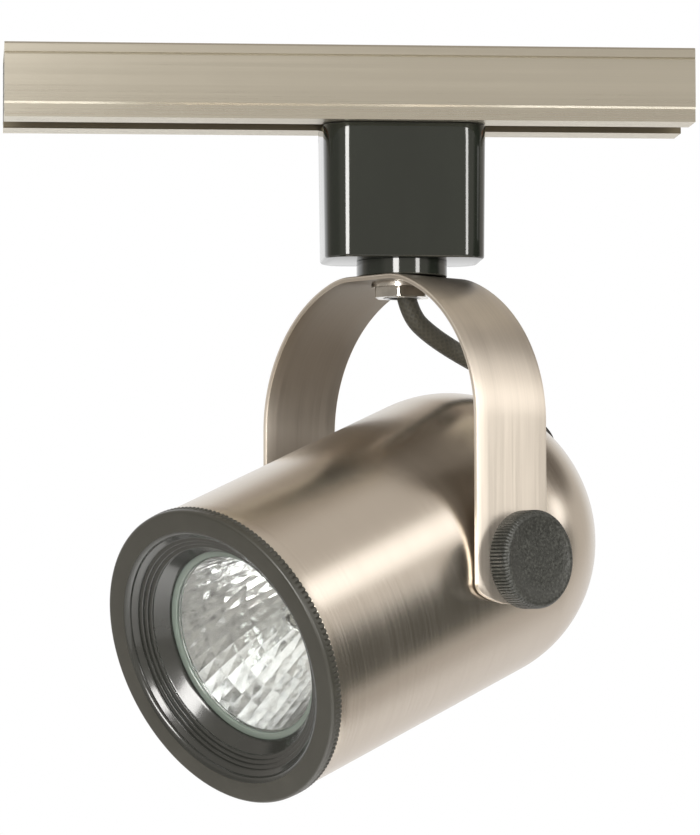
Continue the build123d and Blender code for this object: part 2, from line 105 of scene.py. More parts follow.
# ---------------------------------------------------------------- material helpers
class Mat:
    """One procedural material; p is its Principled shader, and axes are the local axes of
    its pattern. Its helpers add nodes and give back their outputs."""

    def __init__(self, name, color, rough, metal=0.0, axes=None, **extra):
        self.mat = bpy.data.materials.new(name)
        self.mat.use_nodes = True
        self.nodes = self.mat.node_tree.nodes
        self.links = self.mat.node_tree.links
        self.p = self.nodes["Principled BSDF"]
        self.p.inputs["Base Color"].default_value = (*color, 1)
        self.p.inputs["Roughness"].default_value = rough
        self.p.inputs["Metallic"].default_value = metal
        for key, value in extra.items():
            self.p.inputs[key.replace("_", " ")].default_value = value
        self.where = self.node("ShaderNodeTexCoord").outputs["Object"]
        if axes:
            inverse = axes.inverted()
            local = self.node("ShaderNodeMapping")
            local.inputs["Location"].default_value = inverse.translation
            local.inputs["Rotation"].default_value = inverse.to_euler("XYZ")
            self.links.new(self.where, local.inputs["Vector"])
            self.where = local.outputs["Vector"]
        self.bumps = None

    def node(self, kind, **values):
        """A new shader node with its properties set."""
        made = self.nodes.new(kind)
        for key, value in values.items():
            setattr(made, key, value)
        return made

    def math(self, operation, *values):
        """A math node's result; each value is a number or another node's output."""
        made = self.node("ShaderNodeMath", operation=operation)
        for slot, value in zip(made.inputs, values):
            if isinstance(value, (int, float)):
                slot.default_value = value
            else:
                self.links.new(value, slot)
        return made.outputs[0]

    def split(self, vector):
        """A vector's X, Y and Z outputs."""
        parts = self.node("ShaderNodeSeparateXYZ")
        self.links.new(vector, parts.inputs["Vector"])
        return parts.outputs

    def stretch(self, scale):
        """Object coordinates times a scale per metre: one number, or one for each axis."""
        mapping = self.node("ShaderNodeMapping")
        mapping.inputs["Scale"].default_value = scale if isinstance(scale, tuple) else (scale,) * 3
        self.links.new(self.where, mapping.inputs["Vector"])
        return mapping.outputs["Vector"]

    def noise(self, scale, detail=3.0, rough=0.6):
        """Noise over the stretched coordinates."""
        texture = self.node("ShaderNodeTexNoise")
        texture.inputs["Scale"].default_value = 1.0
        texture.inputs["Detail"].default_value = detail
        texture.inputs["Roughness"].default_value = rough
        self.links.new(self.stretch(scale), texture.inputs["Vector"])
        return texture.outputs["Fac"]

    def remap(self, value, low, high, new_low=0.0, new_high=1.0):
        """The value with low and high moved to the new ones, and clamped there."""
        remap = self.node("ShaderNodeMapRange")
        numbers = {"From Min": low, "From Max": high, "To Min": new_low, "To Max": new_high}
        for name, number in numbers.items():
            remap.inputs[name].default_value = number
        self.links.new(value, remap.inputs["Value"])
        return remap.outputs["Result"]

    def colour(self, value, stops):
        """Base colour from a value, through colour stops."""
        ramp = self.node("ShaderNodeValToRGB")
        elements = ramp.color_ramp.elements
        while len(elements) < len(stops):
            elements.new(0.5)
        for element, (place, color) in zip(elements, stops):
            element.position = place
            element.color = (*color, 1)
        self.links.new(value, ramp.inputs["Fac"])
        self.links.new(ramp.outputs["Color"], self.p.inputs["Base Color"])

    def rough(self, value, low, high, new_low, new_high):
        """Roughness from a value."""
        self.links.new(self.remap(value, low, high, new_low, new_high), self.p.inputs["Roughness"])

    def bump(self, height, strength, distance):
        """One more layer of bump, over the earlier ones."""
        bump = self.node("ShaderNodeBump")
        bump.inputs["Strength"].default_value = strength
        bump.inputs["Distance"].default_value = distance
        self.links.new(height, bump.inputs["Height"])
        if self.bumps:
            self.links.new(self.bumps, bump.inputs["Normal"])
        self.bumps = bump.outputs["Normal"]
        self.links.new(self.bumps, self.p.inputs["Normal"])


def tint(color, factor):
    """A colour made lighter or darker."""
    return tuple(min(1.0, c * factor) for c in color)


def brushed(name, color, rough, fine, coarse, strength, contrast,
            axes=None, across=None, around=None):
    """Brushed metal: fine and coarse are the streaks' scales along the local axes.
    Reflections smear across the brushing, which runs across a UV map's U or around an axis."""
    m = Mat(name, color, rough, 1.0, axes)
    hair = m.noise(fine, 4.0, 0.7)
    band = m.noise(coarse, 2.0)
    cloud = m.noise(28)
    streaks = m.math("MULTIPLY_ADD", hair, 0.6, m.remap(band, 0.3, 0.7, 0.0, 0.4))
    m.colour(streaks, [(0.25, tint(color, 1 - contrast)), (0.5, color),
                       (0.78, tint(color, 1 + contrast))])
    clouded = m.math("MULTIPLY_ADD", cloud, 0.35, streaks)
    m.rough(clouded, 0.35, 0.95, rough - 0.03, rough + 0.05)
    m.bump(hair, strength, 0.00002)
    if across or around:
        m.p.inputs["Anisotropic"].default_value = 0.8
        if across:
            tangent = m.node("ShaderNodeTangent", direction_type="UV_MAP", uv_map=across)
        else:
            tangent = m.node("ShaderNodeTangent", direction_type="RADIAL", axis=around)
        m.links.new(tangent.outputs["Tangent"], m.p.inputs["Tangent"])
    return m


def track_nickel_and_slot_shade():
    """Brushed nickel along the track, with painted shade on the slot's own sides: they are coloured
    dark.
    """
    m = brushed("track_nickel", (0.60, 0.565, 0.48), 0.28, (14, 3600, 3600), (3, 420, 420),
                0.1, 0.04, around="X")
    finish = m.p.inputs["Base Color"].links[0].from_socket
    parts = m.split(m.where)
    # painted shade: inside the slot and below the lips the colour turns dark brown, in place of the
    # shadow in the channel
    outside_slot = m.remap(m.math("ABSOLUTE", parts["Y"]), 6.32 * MM, 6.5 * MM)
    above_lips = m.remap(parts["Z"], -16 * MM, -15 * MM)
    mix = m.node("ShaderNodeMix", data_type="RGBA")
    m.links.new(m.math("MAXIMUM", outside_slot, above_lips), mix.inputs[0])
    mix.inputs[MIX_A].default_value = (0.24, 0.21, 0.15, 1)
    m.links.new(finish, mix.inputs[MIX_B])
    m.links.new(mix.outputs[MIX_RESULT], m.p.inputs["Base Color"])
    return m


def plastic(name, color, rough, grain=1400, strength=0.25, depth=0.00004, coat=0.0, smear=0.06):
    """Moulded plastic: a fine grain, faint flow marks and handling smears in the gloss."""
    m = Mat(name, color, rough, Coat_Weight=coat, Coat_Roughness=0.04)
    flow = m.noise((45, 45, 16), 4.0)
    speck = m.noise(grain, 2.0)
    m.colour(flow, [(0.3, tint(color, 0.8)), (0.55, color), (0.75, tint(color, 1.25))])
    m.rough(flow, 0.3, 0.75, max(0.03, rough - smear), rough + smear)
    m.bump(speck, strength, depth)
    return m.mat


def plain_metal(name, color, rough, scratch=900):
    """Plated hardware: short random scratches and a little dulling."""
    m = Mat(name, color, rough, 1.0)
    marks = m.noise((scratch, scratch * 0.12, scratch * 0.4), 4.0)
    dull = m.noise(120)
    m.colour(dull, [(0.3, tint(color, 0.78)), (0.5, color), (0.7, tint(color, 1.12))])
    m.rough(marks, 0.3, 0.7, rough - 0.06, rough + 0.12)
    m.bump(marks, 0.3, 0.00002)
    return m.mat


# ---------------------------------------------------------------- the materials
NICKEL = (0.70, 0.635, 0.555)
barrel_nickel = brushed("barrel_nickel", NICKEL, 0.22, (90, 9000, 90), (14, 2600, 14),
                        0.05, 0.035, HEAD).mat
along_strap = ((60, 6200, 60), (14, 1500, 14), 0.12, 0.05, YOKE, "across")
yoke_nickel = brushed("yoke_nickel", NICKEL, 0.40, *along_strap).mat
track_nickel = track_nickel_and_slot_shade().mat
# painted shade: a darker copy of the yoke's nickel, for the strap's inner face
yoke_inner_shade = brushed("yoke_inner_shade", tint(NICKEL, 0.48), 0.42, *along_strap).mat
bright_nickel = plain_metal("bright_nickel", (0.72, 0.68, 0.62), 0.16)
zinc = plain_metal("zinc_plate", (0.62, 0.63, 0.64), 0.32)
brass = plain_metal("brass_strip", (0.78, 0.58, 0.28), 0.30)
copper = plain_metal("copper_strip", (0.80, 0.45, 0.30), 0.34)
gloss_black = plastic("gloss_black", (0.011, 0.0135, 0.010), 0.09, 260, 0.05, 0.00005, 0.3, 0.02)
satin_black = plastic("satin_black", (0.030, 0.030, 0.026), 0.38, 2600, 0.35)
grey_vinyl = plastic("grey_vinyl", (0.16, 0.16, 0.155), 0.50, 900)
nylon = plastic("natural_nylon", (0.80, 0.78, 0.70), 0.45, 1200)
rubber = plastic("moulded_rubber", (0.030, 0.028, 0.025), 0.55, 1900, 0.4)
ceramic = plastic("steatite", (0.78, 0.75, 0.68), 0.48, 1500, 0.3)
lead_black = plastic("lead_black", (0.03, 0.03, 0.03), 0.4)
lead_white = plastic("lead_white", (0.78, 0.78, 0.75), 0.4)
lead_green = plastic("lead_green", (0.04, 0.27, 0.10), 0.4)


def ring_enamel(name, color, rough, coat):
    """Charcoal enamel over a turned ring: a cloudy gloss and a fine grain."""
    m = Mat(name, color, rough, Coat_Weight=coat, Coat_Roughness=0.10)
    cloud = m.noise(60, 4.0)
    grain = m.noise(1900, 2.0)
    m.colour(cloud, [(0.3, tint(color, 0.85)), (0.55, color), (0.75, tint(color, 1.2))])
    m.rough(cloud, 0.3, 0.7, rough - 0.04, rough + 0.04)
    m.bump(grain, 0.10, 0.00004)
    return m.mat


def knob_plastic():
    """Dark knob: pebbled face like spark-eroded moulding."""
    color = (0.030, 0.031, 0.027)
    m = Mat("knob_pebble", color, 0.40)
    cells = m.node("ShaderNodeTexVoronoi", feature="SMOOTH_F1")
    cells.inputs["Scale"].default_value = 1.0
    m.links.new(m.stretch(1150), cells.inputs["Vector"])
    pebble = m.noise(1500)
    m.colour(pebble, [(0.35, tint(color, 0.65)), (0.52, color), (0.68, tint(color, 1.9))])
    m.rough(pebble, 0.35, 0.65, 0.34, 0.5)
    m.bump(cells.outputs["Distance"], 0.55, 0.00018)
    m.bump(pebble, 0.6, 0.00010)
    return m.mat


def sleeve_weave():
    """Braided glass-fibre sleeving, varnished: two crossing sets of strands along the tube's UV."""
    color = (0.040, 0.037, 0.026)
    strands_around, strands_per_metre = 10, 620.0
    m = Mat("braided_sleeve", color, 0.62, Sheen_Weight=0.15)
    uv = m.node("ShaderNodeUVMap", uv_map="along")
    mapping = m.node("ShaderNodeMapping")
    mapping.inputs["Scale"].default_value = (strands_around, 1, 1)
    m.links.new(uv.outputs["UV"], mapping.inputs["Vector"])
    parts = m.split(mapping.outputs["Vector"])
    waves = []
    for side in (1, -1):
        turns = m.math("MULTIPLY_ADD", parts["Y"], side * strands_per_metre, parts["X"])
        waves.append(m.math("SINE", m.math("MULTIPLY", turns, 2 * pi)))
    top = m.math("MAXIMUM", *waves)
    dust = m.noise(300)
    m.colour(m.remap(top, -0.5, 1.0),
             [(0.1, tint(color, 0.8)), (0.6, color), (1.0, tint(color, 1.15))])
    m.rough(dust, 0.3, 0.7, 0.5, 0.7)
    m.bump(top, 0.3, 0.00015)
    return m.mat


def mirror_facets():
    """The reflector's mirror coat: bright, with a slight ripple in each facet."""
    silver = (0.95, 0.95, 0.95)
    m = Mat("aluminised_glass", silver, 0.10, 0.9)
    ripple = m.noise(420, 2.0)
    m.colour(ripple, [(0.3, (0.84, 0.85, 0.86)), (0.6, silver)])
    m.rough(ripple, 0.3, 0.7, 0.04, 0.14)
    m.bump(ripple, 0.08, 0.0001)
    return m.mat


def clear_glass(name, color, rough, wave, clear=1.0):
    """Pressed glass with a faint ripple; clear is the share of light that goes through."""
    m = Mat(name, color, rough, Transmission_Weight=clear, IOR=1.47)
    ripple = m.noise(wave, 2.0)
    m.rough(ripple, 0.3, 0.7, rough, rough + 0.02)
    m.bump(ripple, 0.05, 0.0001)
    return m.mat


def frosted_back():
    """The reflector's outside: dichroic glass, dull and slightly purple."""
    m = Mat("reflector_back", (0.30, 0.30, 0.34), 0.35, 0.6)
    cloud = m.noise(180)
    m.colour(cloud, [(0.3, (0.22, 0.22, 0.27)), (0.7, (0.42, 0.42, 0.44))])
    m.rough(cloud, 0.3, 0.7, 0.25, 0.45)
    return m.mat


enamel = ring_enamel("charcoal_enamel", (0.036, 0.035, 0.028), 0.36, 0.1)
throat_enamel = ring_enamel("throat_enamel", (0.022, 0.023, 0.020), 0.20, 0.5)
pebble = knob_plastic()
weave = sleeve_weave()
facets = mirror_facets()
lens_glass = clear_glass("lens_glass", (0.97, 0.99, 0.98), 0.0, 260)
rim_glass = clear_glass("rim_glass", (0.44, 0.52, 0.46), 0.10, 500, 0.6)
bowl_glass = frosted_back()

CAD_MATERIALS = {
    track_nickel: ["track_channel"],
    grey_vinyl: ["track_insulator_front", "track_insulator_rear"],
    copper: ["line_conductor", "neutral_conductor", "ground_conductor"],
    brass: ["line_contact", "neutral_contact", "ground_contact", "ground_screw",
            "lampholder_contacts"],
    satin_black: ["adapter_cover", "lock_tab"],
    lead_black: ["line_lead", "socket_lead_line"],
    lead_white: ["neutral_lead", "socket_lead_neutral"],
    lead_green: ["ground_lead"],
    zinc: ["locking_bars", "cover_screws", "threaded_stem", "stem_inner_nut", "pivot_inserts",
           "lampholder_bracket", "lampholder_screws", "knob_stud_right", "knob_stud_left",
           "lock_spring"],
    bright_nickel: ["stem_locknut", "yoke_washer", "lamp_pins"],
    rubber: ["cable_grommet"],
    nylon: ["friction_washers"],
    ceramic: ["lampholder", "lamp_base"],
}
for material, names in CAD_MATERIALS.items():
    for name in names:
        mesh = frame["nodes"][name].data
        mesh.materials.clear()
        mesh.materials.append(material)


# ---------------------------------------------------------------- mesh helpers
def piece(name, verts, faces, matrix, materials, sharp=35):
    """A mesh object made in local axes and put in place. Its faces are smooth, with hard edges
    above an angle, or flat where there is no angle."""
    mesh = bpy.data.meshes.new(name)
    mesh.from_pydata([tuple(matrix @ Vector(v)) for v in verts], [], faces)
    bm = bmesh.new()
    bm.from_mesh(mesh)
    bmesh.ops.recalc_face_normals(bm, faces=bm.faces)
    bm.to_mesh(mesh)
    bm.free()
    mesh.update()
    if sharp is None:
        mesh.shade_flat()
    else:
        mesh.shade_smooth()
        mesh.set_sharp_from_angle(angle=radians(sharp))
    for material in materials:
        mesh.materials.append(material)
    made = bpy.data.objects.new(name, mesh)
    bpy.context.scene.collection.objects.link(made)
    return made


def lathe(profile, segments, closed=True, wobble=None):
    """A profile of (radius, y) points turned about local Y; wobble(row, step) scales a radius."""
    verts, rows = [], []
    for row, (radius, y) in enumerate(profile):
        if radius < 1e-7:
            rows.append([len(verts)])
            verts.append((0, y, 0))
            continue
        rows.append(list(range(len(verts), len(verts) + segments)))
        for step in range(segments):
            a = 2 * pi * step / segments
            r = radius * (wobble(row, step) if wobble else 1.0)
            verts.append((r * cos(a), y, r * sin(a)))
    faces = []
    pairs = list(zip(rows, rows[1:])) + ([(rows[-1], rows[0])] if closed else [])
    for one, two in pairs:
        if len(one) == 1 and len(two) == 1:
            continue
        for step in range(segments):
            after = (step + 1) % segments
            if len(one) == 1:
                faces.append((one[0], two[after], two[step]))
            elif len(two) == 1:
                faces.append((one[step], one[after], two[0]))
            else:
                faces.append((one[step], one[after], two[after], two[step]))
    return verts, faces


def arc(cx, cy, radius, a0, a1, count):
    """Points of an arc, angles in degrees."""
    return [(cx + radius * cos(radians(a0 + (a1 - a0) * k / count)),
             cy + radius * sin(radians(a0 + (a1 - a0) * k / count))) for k in range(count + 1)]


def ring_stack(rings, capped=True):
    """Closed rings of equal length joined into a skin; capped fills the first and last ring."""
    count = len(rings[0])
    verts = [p for ring in rings for p in ring]
    faces = []
    for k in range(len(rings) - 1):
        for i in range(count):
            j = (i + 1) % count
            one, two = k * count, (k + 1) * count
            faces.append((one + i, one + j, two + j, two + i))
    if capped:
        faces.append(tuple(range(count)))
        faces.append(tuple(range((len(rings) - 1) * count, len(rings) * count)))
    return verts, faces


def add_stack(verts, faces, rings):
    """Adds one more capped skin to a mesh's points and faces."""
    base = len(verts)
    more_verts, more_faces = ring_stack(rings)
    verts += more_verts
    faces += [tuple(base + i for i in face) for face in more_faces]


# ---------------------------------------------------------------- the lamp head
barrel_low, barrel_high = head_box("barrel_shell")
barrel_radius = barrel_high[0]
barrel_front, barrel_back = barrel_low[1], barrel_high[1]
barrel_wall = 1.25 * MM
dome_flat = 2.5 * MM
dome_radius = barrel_radius - dome_flat
dome_y = barrel_back - dome_radius


def build_barrel():
    """Spun shell: rolled front edge, straight wall, round back."""
    edge, wall_rows = 0.35 * MM, 24
    outer = arc(barrel_radius - edge, barrel_front + edge, edge, -90, 0, 4)
    outer += [(barrel_radius, barrel_front + (dome_y - barrel_front) * k / wall_rows)
              for k in range(1, wall_rows)]
    outer += arc(dome_flat, dome_y, dome_radius, 0, 90, 48) + [(0, barrel_back)]
    inner_r = dome_radius - barrel_wall
    inner = [(0, dome_y + inner_r)] + arc(dome_flat, dome_y, inner_r, 90, 0, 32)
    inner += [(barrel_radius - barrel_wall, barrel_front + 0.1 * MM)]
    verts, faces = lathe(outer + inner, 256)
    barrel = piece("barrel", verts, faces, HEAD, [barrel_nickel], 40)
    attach(barrel, "head")
    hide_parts("barrel_shell")


def build_trim_ring():
    """Turned baffle ring: broad front lip, rounded throat, fine steps, knurled rim."""
    low, high = head_box("trim_ring")
    rim, front = high[0], low[1]
    teeth, per_tooth = 170, 4
    around = teeth * per_tooth
    rim_back = front + 3.15 * MM
    profile = [(rim, rim_back), (rim, rim_back - 1.2 * MM)]
    knurled = len(profile)      # only these rear rows of the rim have teeth
    tooth = [1.0, 0.999, 0.990, 0.999]

    # the smooth edge, the flat front face and the rounded bead at the throat
    plain, edge = rim - 0.1 * MM, 0.75 * MM
    bead, bead_r, bead_rows = 33.4 * MM, 1.66 * MM, 9
    profile += [(plain, rim_back - 1.5 * MM), (plain, front + 1.0 * MM)]
    profile += arc(plain - edge, front + edge, edge, 0, -90, 6)
    profile += [(34.0 * MM, front + 0.04 * MM)]
    profile += [(x, y) for y, x in arc(front + 1.7 * MM, bead, bead_r, 180, 262, bead_rows)]
    glossy_from = len(profile) - bead_rows

    # the fine steps of the baffle, each with a round edge
    throat_r, throat_y = 31.6 * MM, front + 2.4 * MM
    steps, step_r, step_y, r = 4, 1.05 * MM, 0.65 * MM, 0.25 * MM
    for k in range(steps):
        x, y = throat_r - step_r * k, throat_y + step_y * k
        profile += arc(x - step_r + r, y + r, r, -90, -180, 4)
        profile += [(x - step_r, y + step_y - 0.05 * MM)]

    # the cone down to the lip that holds the lamp, then the hidden back and the threaded skirt
    lamp_front = head_box("lamp_reflector")[0][1]
    lip_r, lip_y, lip_back = 24.9 * MM, lamp_front - 0.9 * MM, lamp_front - 0.15 * MM
    skirt_in, skirt_out, skirt_back = 35.5 * MM, 36.6 * MM, front + 10.4 * MM
    profile += [(27.2 * MM, front + 5.15 * MM), (lip_r + 0.5 * MM, lip_y - 0.35 * MM),
                (lip_r + 0.1 * MM, lip_y), (lip_r, lip_y + 0.25 * MM), (lip_r, lip_back),
                (26.5 * MM, lip_back), (28.9 * MM, lip_back - 1.3 * MM),
                (32.6 * MM, front + 4.3 * MM), (skirt_in, front + 3.8 * MM),
                (skirt_in, skirt_back), (skirt_out, skirt_back), (skirt_out, rim_back)]
    hidden_rows = 6
    glossy_to = len(profile) - hidden_rows

    def wobble(row, step):
        return tooth[step % per_tooth] if row < knurled else 1.0

    verts, faces = lathe(profile, around, wobble=wobble)
    ring = piece("trim_ring_knurled", verts, faces, HEAD, [enamel, throat_enamel], 32)
    for polygon in ring.data.polygons:
        row = min(polygon.vertices) // around
        polygon.material_index = 1 if glossy_from <= row < glossy_to else 0
    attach(ring, "trim_ring")
    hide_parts("trim_ring")


def build_lamp():
    """Reflector lamp: facetted bowl, glass rim, front lens and halogen capsule."""
    low, high = head_box("lamp_reflector")
    front, radius = low[1], high[0]
    depth, neck, mouth = 31.0 * MM, 7.0 * MM, 22.9 * MM
    rows, columns = 7, 46

    def bowl(t):
        """Radius and depth from the neck, t = 0, to the mouth, t = 1."""
        return neck + (mouth - neck) * sqrt(t), front + 1.6 * MM + depth * (1 - t)

    rings = []
    for k in range(rows + 1):
        r, y = bowl((k / rows) ** 1.5)
        turns = [2 * pi * (i + 0.5 * k) / columns for i in range(columns)]
        rings.append([(r * cos(a), y, r * sin(a)) for a in turns])
    verts, faces = ring_stack(rings, capped=False)
    inside = piece("reflector_facets", verts, faces, HEAD, [facets], None)
    thick = inside.modifiers.new("thickness", "SOLIDIFY")
    thick.thickness = 0.25 * MM
    thick.offset = 1.0

    # the glass behind the facets, from the neck's back round the rim to the neck's front
    back_rows = 20
    behind = [bowl(k / back_rows) for k in range(back_rows)]
    before = [bowl(1 - k / back_rows) for k in range(1, back_rows + 1)]
    seat_r, seat_back = 23.3 * MM, front + 1.4 * MM
    profile = [(r + 0.9 * MM, y + 0.3 * MM) for r, y in behind]
    profile += [(radius - 1.4 * MM, front + 2.7 * MM), (radius - 0.3 * MM, front + 2.5 * MM),
                (radius, front + 2.1 * MM), (radius, front + 0.5 * MM),
                (radius - 0.15 * MM, front + 0.15 * MM), (radius - 0.5 * MM, front),
                (23.5 * MM, front), (seat_r, front + 0.2 * MM), (seat_r, seat_back)]
    profile += [(r + 0.35 * MM, y) for r, y in before]
    verts, faces = lathe(profile, 160)
    shell = piece("reflector_shell", verts, faces, HEAD, [bowl_glass, rim_glass], 40)
    for polygon in shell.data.polygons:
        if (HEAD.inverted() @ polygon.center).y < front + 2.6 * MM:
            polygon.material_index = 1
    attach(inside, "lamp")
    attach(shell, "lamp")
    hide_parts("lamp_reflector")
    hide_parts("lamp_reflector")

    build_lens(front)
    build_burner()


def build_lens(front):
    """Front glass: a thin disc inside the rim, slightly domed."""
    lens_r, lens_front, lens_back = 23.1 * MM, front + 0.1 * MM, front + 1.35 * MM
    crown, lens_rows = 0.5 * MM, 12
    lens = [(0, lens_front)]
    lens += [(lens_r * k / lens_rows, lens_front + crown * (k / lens_rows) ** 2)
             for k in range(1, lens_rows + 1)]
    lens += [(lens_r * (1 - k / lens_rows), lens_back) for k in range(lens_rows)]
    lens += [(0, lens_back)]
    verts, faces = lathe(lens, 128, closed=False)
    glass = piece("lamp_lens", verts, faces, HEAD, [lens_glass], 50)
    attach(glass, "lamp")
    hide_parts("lamp_glass")


def build_burner():
    """Quartz capsule with a coiled filament on two molybdenum legs."""
    low, high = head_box("lamp_burner")
    tip, back = low[1], high[1]
    bulb_r, bulb_back = 3.5 * MM, tip + 8.5 * MM
    pinch_r, pinch_y = 1.6 * MM, tip + 12.2 * MM
    bulb = [(0, tip)] + arc(0, tip + 3.6 * MM, bulb_r, -84, 0, 12)
    bulb += [(bulb_r, bulb_back)] + arc(1.0 * MM, bulb_back, 2.5 * MM, 0, 70, 8)
    bulb += [(pinch_r, pinch_y), (pinch_r, back), (0, back)]
    verts, faces = lathe(bulb, 48, closed=False)
    capsule = piece("burner_capsule", verts, faces, HEAD, [lens_glass], 50)
    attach(capsule, "lamp")
    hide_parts("lamp_burner")

    # the filament: up one leg, along a small coil, down the other leg
    turns, per_turn = 9, 14
    leg_x, leg_back = 1.9 * MM, back - 1 * MM
    coil_y, coil_r = tip + 5.5 * MM, 0.55 * MM
    points = [(-leg_x, leg_back, 0), (-leg_x, coil_y + 0.5 * MM, 0)]
    for k in range(turns * per_turn + 1):
        a = 2 * pi * k / per_turn
        x = -leg_x + 2 * leg_x * k / (turns * per_turn)
        points.append((x, coil_y + coil_r * cos(a), coil_r * sin(a)))
    points += [(leg_x, coil_y + 0.5 * MM, 0), (leg_x, leg_back, 0)]
    curve = bpy.data.curves.new("filament", "CURVE")
    curve.dimensions = "3D"
    curve.bevel_depth = 0.09 * MM
    curve.bevel_resolution = 1
    spline = curve.splines.new("POLY")
    spline.points.add(len(points) - 1)
    for place, point in zip(spline.points, points):
        place.co = (*(HEAD @ Vector(point)), 1)
    curve.materials.append(zinc)
    filament = bpy.data.objects.new("burner_filament", curve)
    bpy.context.scene.collection.objects.link(filament)
    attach(filament, "lamp")


def build_knob(name, side):
    """Thumb knob: ribbed rim, pebbled dished face, narrow hub."""
    low, high = head_box(name)
    near, far = (low[0], high[0]) if side > 0 else (-high[0], -low[0])
    radius = high[1]
    ribs, per_rib = 84, 4
    rib = [1.0, 0.998, 0.968, 0.998]
    back = near + 3.3 * MM      # where the wide head starts behind its hub
    bore, hub, sunk = 2.7 * MM, 7.2 * MM, near + 1 * MM
    profile = [(bore, near), (hub - 0.3 * MM, near), (hub, near + 0.3 * MM),
               (hub, back - 0.2 * MM), (hub + 0.3 * MM, back), (radius - 0.9 * MM, back)]
    ribbed = len(profile)
    profile += [(radius - 0.25 * MM, back + 0.35 * MM), (radius, back + 0.8 * MM),
                (radius, far - 1.3 * MM), (radius - 0.2 * MM, far - 0.85 * MM)]
    smooth_from = len(profile)
    profile += [(radius - 0.75 * MM, far - 0.2 * MM), (radius - 1.3 * MM, far),
                (radius - 1.9 * MM, far - 0.05 * MM), (radius - 2.3 * MM, far - 0.3 * MM),
                (radius * 0.5, far - 0.42 * MM), (0, far - 0.45 * MM), (0, sunk), (bore, sunk)]

    def wobble(row, step):
        return rib[step % per_rib] if ribbed <= row < smooth_from else 1.0

    verts, faces = lathe(profile, ribs * per_rib, wobble=wobble)
    turn = Matrix.Rotation(radians(-90 * side), 4, "Z")
    made = piece(f"{name}_ribbed", verts, faces, HEAD @ turn, [pebble], 40)
    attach(made, name)
    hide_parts(name)


